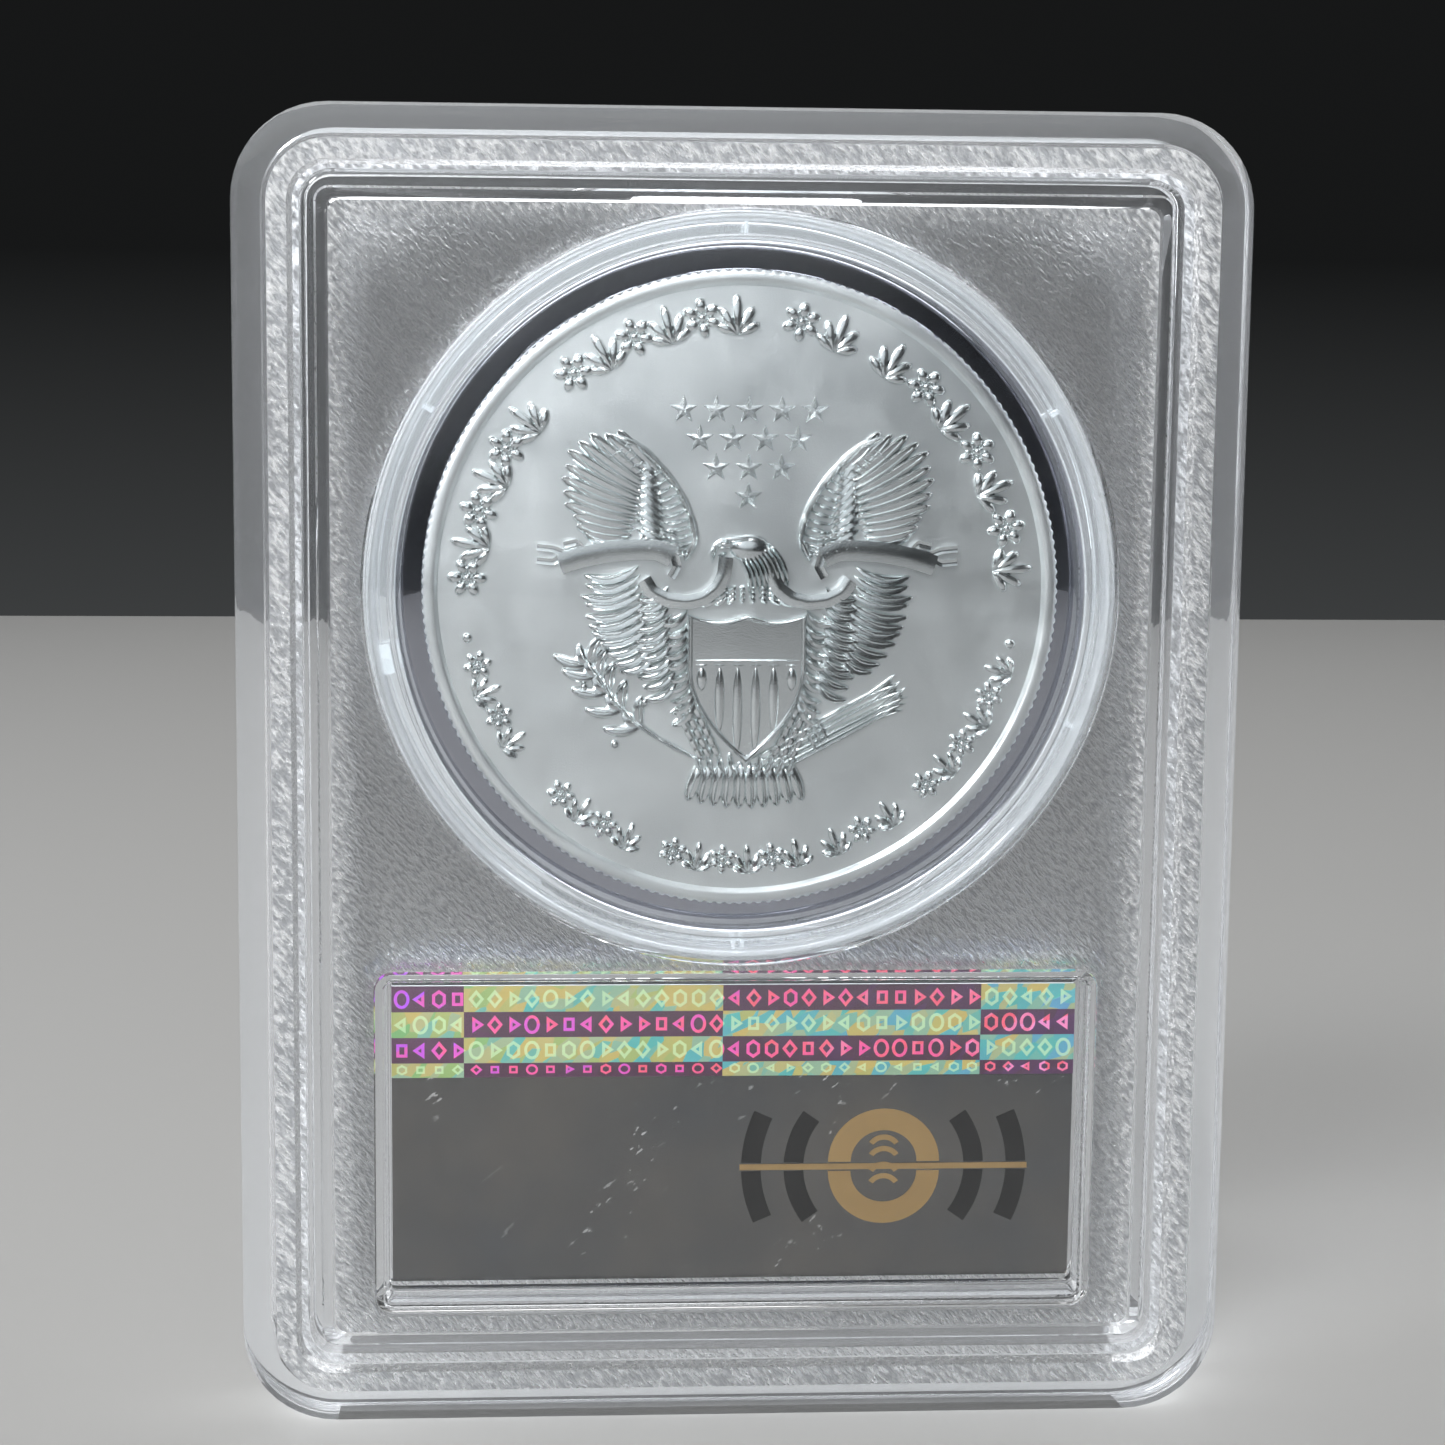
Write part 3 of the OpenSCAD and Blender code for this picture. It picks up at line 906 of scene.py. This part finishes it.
def addLegsAndTail(bm):
    lobes = 10
    for place in range(lobes):
        across = place / (lobes - 1) * 2 - 1
        root = (across * 2.9, -11.0)
        tip = (across * 3.75, -14.15 + 0.55 * across ** 2)
        petal(bm, root, tip, 0.92, 0.42, taper=0.15, lean=0.1 if across < 0 else -0.1)
        petal(bm, between(root, tip, 0.3), between(root, tip, 0.95), 0.13, 0.13, lift=0.38, sides=6)
    for side in (-1, 1):
        for row in range(5):
            for place in range(3):
                x = side * (3.4 - 0.3 * row + 0.55 * place)
                y = -7.2 - 0.62 * row - 0.1 * place
                petal(bm, (x, y), (x - side * 0.6, y - 1.1), 0.6, 0.4, lean=0.08 * side, ends=6)
        for claw in range(4):
            x = side * (1.0 + 0.7 * claw)
            petal(bm, (x, -10.4), (x - side * 0.5, -11.9), 0.5, 0.5, bend=0.16 * side)


def addRelief(name, outward, drawing, *sides, shift=0.38):
    bm = bmesh.new()
    drawing(bm, *sides)
    bmesh.ops.translate(bm, vec=(shift, 0, 0), verts=bm.verts)
    setUpright(bm, outward, coinUp)
    addPiece(name, bm, [reliefSilver], 42)


def addSun(bm):
    for ray in range(24):
        angle = 15 * ray
        long = 14.6 if ray % 2 else 12.4
        petal(bm, polar(7.6, angle), polar(long, angle), 1.5, 0.3, taper=-0.6)
    for ring in range(60):
        petal(bm, polar(16.6, 6 * ring), polar(18.4, 6 * ring + 4), 0.8, 0.22, bend=0.15)
    for radius, rise in ((6.6, 0.45), (4.6, 0.6)):
        place = Matrix.Translation((0, 0, fieldLevel)) @ Matrix.Diagonal((1, 1, rise / radius, 1))
        bmesh.ops.create_uvsphere(bm, u_segments=48, v_segments=16, radius=radius, matrix=place)


for end in ("upper", "lower"):
    addRelief("coin_border_" + end, back, addBorder, end + "Groups", shift=0)
addRelief("coin_pellets", back, addPellets, shift=0)
for name, drawing, paired in (("stars", addStars, False), ("wing", addUpperWing, True),
                              ("flank", addLowerWing, True), ("head", addHead, False),
                              ("tail", addLegsAndTail, False), ("branch", addBranch, False),
                              ("arrows", addArrows, False), ("ribbon", addRibbon, True),
                              ("shield", addShield, False)):
    if paired:
        addRelief(f"coin_{name}_left", back, drawing, 1)
        addRelief(f"coin_{name}_right", back, drawing, -1)
    else:
        addRelief("coin_" + name, back, drawing)
addRelief("coin_sun", front, addSun, shift=0)
print("coin relief made")


# ---- the label

def makeFilm():
    finish, tree, shader = newFinish("mirror_film")
    clouds = noise(tree, 70, 5, 0.6)
    colour = blended(tree, ranged(tree, clouds, 0.35, 0.7, 0, 1), (0.17, 0.175, 0.18, 1),
                     (0.26, 0.24, 0.215, 1))
    scratchPlace = stretched(tree, (1, 1, 3), 0.9)
    scratch = ranged(tree, noise(tree, 2600, 2, 0.6, scratchPlace), 0.66, 0.7, 0, 1)
    smear = ranged(tree, noise(tree, 110, 2), 0.52, 0.62, 0, 1)
    marked = blended(tree, maths(tree, "MULTIPLY", scratch, smear), colour, (0.85, 0.85, 0.83, 1))
    rough = ranged(tree, noise(tree, 240, 4, 0.6), 0.35, 0.7, 0.1, 0.22)
    ripple = noise(tree, 60, 2)
    setInputs(tree, shader, Base_Color=marked, Metallic=1.0, Roughness=rough,
              Normal=bump(tree, ripple, 0.00012, 0.35))
    return finish


foilShape = {"columns": (-17.6, -0.8, 16.1), "rowTall": 1.74, "rows": 4, "markPitch": 1.2}


def makeFoil(name, dark):
    # rows of the strip change hue with height, and its columns swap between the two kinds of row
    finish, tree, shader = newFinish(name)
    place = addNode(tree, "SeparateXYZ", {0: addNode(tree, "TexCoord").outputs["Object"]})
    shards = addNode(tree, "TexVoronoi", {"Vector": stretched(tree, (1, 1, 2.2), 0.8),
                                          "Scale": 1500}).outputs["Color"]
    tone = addNode(tree, "SeparateXYZ", {0: shards}).outputs[0]
    columns = 0.0
    for edge in foilShape["columns"]:
        columns = maths(tree, "ADD", maths(tree, "GREATER_THAN", place.outputs[0], edge * mm), columns)
    fromTop = maths(tree, "SUBTRACT", foilHigh.z, place.outputs[2])
    row = maths(tree, "FLOOR", maths(tree, "DIVIDE", fromTop, foilShape["rowTall"] * mm))
    checker = maths(tree, "MODULO", maths(tree, "ADD", columns, row), 2.0)
    sweep = ranged(tree, place.outputs[0], foilLow.x, foilHigh.x, 0, 1)
    hue = maths(tree, "FRACT", maths(tree, "ADD", maths(tree, "MULTIPLY", tone, 0.45),
                                    maths(tree, "MULTIPLY", sweep, 0.25)), 0)
    coolRamp = addNode(tree, "ValToRGB", {0: hue})
    fillRamp(coolRamp, ((0.0, (0.2, 0.5, 0.2, 1)), (0.25, (0.62, 0.48, 0.16, 1)),
                        (0.5, (0.12, 0.5, 0.46, 1)), (0.75, (0.16, 0.34, 0.62, 1)),
                        (1.0, (0.55, 0.42, 0.62, 1))))
    warmRamp = addNode(tree, "ValToRGB", {0: maths(tree, "ADD", maths(tree, "MULTIPLY", sweep, 0.5),
                                                    maths(tree, "MULTIPLY", tone, 0.4))})
    warm = ((0.0, (0.13, 0.06, 0.11, 1)), (0.5, (0.1, 0.055, 0.08, 1)), (1.0, (0.12, 0.055, 0.15, 1))) \
        if dark else ((0.0, (0.55, 0.12, 0.95, 1)), (0.35, (1.0, 0.14, 0.42, 1)),
                      (0.6, (1.0, 0.16, 0.22, 1)), (1.0, (1.0, 0.45, 0.95, 1)))
    fillRamp(warmRamp, warm)
    cool = coolRamp.outputs[0] if dark else blended(tree, 0.55, coolRamp.outputs[0], (0.75, 1.0, 0.6, 1))
    colour = blended(tree, checker, warmRamp.outputs[0], cool)
    setInputs(tree, shader, Base_Color=colour, Metallic=0.35, Roughness=0.3,
              Normal=bump(tree, tone, 0.00003, 0.5))
    return finish


def fillRamp(ramp, stops):
    elements = ramp.color_ramp.elements
    while len(elements) < len(stops):
        elements.new(0.5)
    for element, (position, colour) in zip(elements, stops):
        element.position = position
        element.color = colour


def makeInk(name, colour, metal, rough, shine=0.5):
    finish, tree, shader = newFinish(name)
    wear = noise(tree, 700, 4, 0.6)
    darker = tuple(part * 0.8 for part in colour[:3]) + (1,)
    setInputs(tree, shader, Base_Color=blended(tree, wear, darker, colour), Metallic=metal,
              Roughness=ranged(tree, wear, 0.3, 0.7, rough, rough + 0.12), Specular_IOR_Level=shine)
    return finish


film = makeFilm()
foil = makeFoil("rainbow_foil", True)
foilMarks = makeFoil("rainbow_marks", False)
inkBlack = makeInk("black_ink", (0.01, 0.01, 0.01, 1), 0.0, 0.35, 0.1)
inkGold = makeInk("gold_ink", (0.36, 0.23, 0.09, 1), 0.4, 0.4)
inkBlue = makeInk("blue_ink", (0.03, 0.1, 0.32, 1), 0.0, 0.4)
inkGrey = makeInk("grey_ink", (0.1, 0.1, 0.11, 1), 0.0, 0.45)
cardPaper = makeInk("label_card_paper", (0.82, 0.86, 0.88, 1), 0.0, 0.5)

for nodeName, finish in (("label_film", film), ("hologram_strip", foil), ("label_card", cardPaper)):
    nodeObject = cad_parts[nodeName]
    nodeObject.data.materials.clear()
    nodeObject.data.materials.append(finish)


def addPlate(bm, points, level, thick=0.02):
    loop = outlineLoop(bm, points, level)
    base = bmesh.ops.contextual_create(bm, geom=loop)["faces"]
    thicken(bm, base, thick)


def thicken(bm, faces, thick):
    made = bmesh.ops.extrude_face_region(bm, geom=faces)["geom"]
    verts = [item for item in made if isinstance(item, bmesh.types.BMVert)]
    bmesh.ops.translate(bm, vec=(0, 0, thick), verts=verts)


def addRingMark(bm, x, y, corners, reach, stroke, level, squash=1.0, turn=0.0):
    # an outline with that many corners
    place = Matrix.Translation((x, y, level)) @ Matrix.Diagonal((squash, 1, 1, 1)) \
        @ Matrix.Rotation(radians(turn), 4, "Z")
    ring = bmesh.ops.create_circle(bm, segments=corners, radius=reach, matrix=place)["verts"]
    face = bmesh.ops.contextual_create(bm, geom=edgesOf(ring))["faces"]
    faces = bmesh.ops.inset_region(bm, faces=face, thickness=stroke, use_boundary=True,
                                    use_even_offset=True)["faces"]
    bmesh.ops.delete(bm, geom=face, context="FACES_ONLY")
    thicken(bm, faces, 0.02)


def buildFoilMarks():
    bm = bmesh.new()
    pitch, rows = foilShape["markPitch"], foilShape["rows"]
    dice = Random(7)
    for row in range(rows):
        middle = foilHigh.z / mm - labelUp - (row + 0.5) * foilShape["rowTall"]
        count = int(labelWide / pitch)
        for place in range(count):
            x = (place - (count - 1) / 2) * pitch
            corners, turn = dice.choice(((4, 0), (3, 90), (16, 0), (6, 0), (3, 270), (4, 45)))
            if row == rows - 1:
                addRingMark(bm, x, middle + 0.42, corners, 0.36, 0.14, foilFace, 1.1, turn)
            else:
                addRingMark(bm, x, middle, corners, 0.64, 0.2, foilFace, 0.8, turn)
    setUpright(bm, back, labelUp)
    return addPiece("strip_marks", bm, [foilMarks], 30)


emblemShape = {"middle": (9.9, -2.4), "half": 4.0, "stroke": 1.3, "reach": 9.5, "gap": 0.32}


def arcPlate(bm, middle, outer, stroke, start, end, level, steps=20):
    angles = [start + (end - start) * k / steps for k in range(steps + 1)]
    points = [polar(outer, a, middle) for a in angles] + [polar(outer - stroke, a, middle)
                                                          for a in reversed(angles)]
    addPlate(bm, points, level)


def boxPlate(bm, left, low, right, high, level):
    addPlate(bm, [(left, low), (right, low), (right, high), (left, high)], level)


def buildEmblem():
    # a ring with small ripples in it, between bowed bars, cut across by a thin line
    x, y = emblemShape["middle"]
    half, stroke, gap = emblemShape["half"], emblemShape["stroke"], emblemShape["gap"]
    black = bmesh.new()
    for outer, spread in ((6.6, 36), (9.4, 24.5)):
        for way in (0, 180):
            for side in (-1, 1):
                start, end = sorted((way + side * 2.6 * 6.6 / outer, way + side * spread))
                arcPlate(black, (x, y), outer, stroke, start, end, filmFace)
    setUpright(black, back, labelUp)
    addPiece("emblem_black", black, [inkBlack], 30)
    gold = bmesh.new()
    for side in (-1, 1):
        arcPlate(gold, (x, y + side * gap), half - gap, 1.5, 0 if side > 0 else 180,
                 180 if side > 0 else 360, filmFace + 0.025)
        for wave in (0.55, 1.35):
            arcPlate(gold, (x, y + side * wave - 0.35), 1.2, 0.36, 35, 145, filmFace + 0.025, 10)
    boxPlate(gold, x - emblemShape["reach"], y - 0.2, x + emblemShape["reach"], y + 0.2,
             filmFace + 0.05)
    setUpright(gold, back, labelUp)
    addPiece("emblem_gold", gold, [inkGold], 30)


def buildFrontPrint():
    # plain bars stand for the printed lines on the front of the label
    blue, dark = bmesh.new(), bmesh.new()
    wide, tall = labelWide / 2 - 1.2, labelTall / 2 - 1.2
    boxPlate(blue, -wide, tall - 3.4, wide, tall, cardFace)
    boxPlate(blue, -wide, -tall, wide, -tall + 0.9, cardFace)
    for row in range(3):
        boxPlate(dark, -wide + 0.6, 2.6 - 2.3 * row, -wide + 17 - 4.5 * row, 3.7 - 2.3 * row, cardFace)
    dice = Random(11)
    x = 2.0
    while x < wide - 1.5:
        bar = dice.choice((0.2, 0.2, 0.35, 0.5))
        boxPlate(dark, x, -5.4, x + bar, -1.4, cardFace)
        x += bar + dice.choice((0.25, 0.4, 0.55))
    setUpright(blue, front, labelUp)
    addPiece("label_front_bands", blue, [inkBlue], 30)
    setUpright(dark, front, labelUp)
    addPiece("label_front_bars", dark, [inkGrey], 30)


buildFoilMarks()
buildEmblem()
buildFrontPrint()
print("label made")


# ---- floor, light and camera

def makePlain(name, colour, roughness):
    finish, tree, shader = newFinish(name)
    setInputs(tree, shader, Base_Color=colour, Roughness=roughness)
    return finish


def addFloor(size):
    bm = bmesh.new()
    bmesh.ops.create_grid(bm, x_segments=1, y_segments=1, size=size / 2)
    mesh = bpy.data.meshes.new("floor")
    bm.to_mesh(mesh)
    bm.free()
    mesh.materials.append(makePlain("pale_floor", studio["floor"], 0.7))
    floor = bpy.data.objects.new("floor", mesh)
    bpy.context.scene.collection.objects.link(floor)


def addLamp(name, spot, aim, size, power, colour=(1, 1, 1)):
    data = bpy.data.lights.new(name, "AREA")
    data.shape = "RECTANGLE"
    data.size, data.size_y = size
    data.energy = power
    data.color = colour
    lamp = bpy.data.objects.new(name, data)
    lamp.location = spot
    lamp.rotation_euler = (Vector(aim) - Vector(spot)).to_track_quat("-Z", "Y").to_euler()
    bpy.context.scene.collection.objects.link(lamp)


studio = {
    "dark": 0.009,
    "horizon": 0.045,
    "glow": 0.7,
    "glowFrom": (-0.16, -0.9, 0.46),
    "glowSpan": (0.86, 0.975),
    "tint": (0.93, 0.98, 1.0, 1),
    "floor": (0.35, 0.348, 0.342, 1),
}


def setWorld():
    # a dark backdrop, a little lighter low down, and a broad soft glow from the camera's side
    world = bpy.data.worlds.new("studio")
    bpy.context.scene.world = world
    world.use_nodes = True
    tree = world.node_tree
    way = addNode(tree, "TexCoord").outputs["Object"]
    towards = addNode(tree, "VectorMath", {0: way, 1: studio["glowFrom"]}, operation="DOT_PRODUCT")
    glow = addNode(tree, "MapRange", {0: towards.outputs["Value"], 1: studio["glowSpan"][0],
                                      2: studio["glowSpan"][1], 3: 0.0, 4: studio["glow"]},
                   interpolation_type="SMOOTHSTEP").outputs[0]
    height = addNode(tree, "SeparateXYZ", {0: way}).outputs[2]
    low = ranged(tree, height, -0.13, 0.0, studio["horizon"], 0)
    total = maths(tree, "ADD", maths(tree, "ADD", glow, low), studio["dark"])
    shade = tree.nodes["Background"]
    shade.inputs[0].default_value = studio["tint"]
    tree.links.new(total, shade.inputs[1])


cameraView = {"spot": (-0.0151, -0.1987, 0.0751), "turn": -4.06, "tilt": -8.5, "roll": -0.64, "lens": 78.0}


def addCamera():
    data = bpy.data.cameras.new("camera")
    data.lens = cameraView["lens"]
    data.clip_start = 0.01
    camera = bpy.data.objects.new("camera", data)
    turn = Matrix.Rotation(radians(cameraView["turn"]), 4, "Z") \
        @ Matrix.Rotation(radians(cameraView["tilt"]), 4, "X") \
        @ Matrix.Rotation(radians(cameraView["roll"]), 4, "Y") @ Matrix.Rotation(pi / 2, 4, "X")
    camera.matrix_world = Matrix.Translation(cameraView["spot"]) @ turn
    bpy.context.scene.collection.objects.link(camera)
    bpy.context.scene.camera = camera


addFloor(0.9)
setWorld()
addLamp("over", (-0.05, -0.02, 0.42), (0, 0, 0.05), (0.5, 0.16), 0.9)
addLamp("front", (-0.28, -0.38, 0.36), (0, 0, 0.06), (0.14, 0.1), 2.1)
addLamp("behind", (0.0, 0.5, 0.4), (0, 0, 0.06), (0.8, 0.14), 1.5)
addLamp("left", (-0.45, 0.12, 0.2), (0, 0, 0.05), (0.1, 0.3), 0.55)
addLamp("right", (0.45, 0.14, 0.22), (0, 0, 0.05), (0.1, 0.3), 0.5)
bpy.context.scene.view_settings.view_transform = "Standard"
addCamera()
bpy.context.scene.cycles.max_bounces = 14
bpy.context.scene.cycles.transmission_bounces = 14
bpy.context.scene.cycles.glossy_bounces = 6
print("stage and camera made")
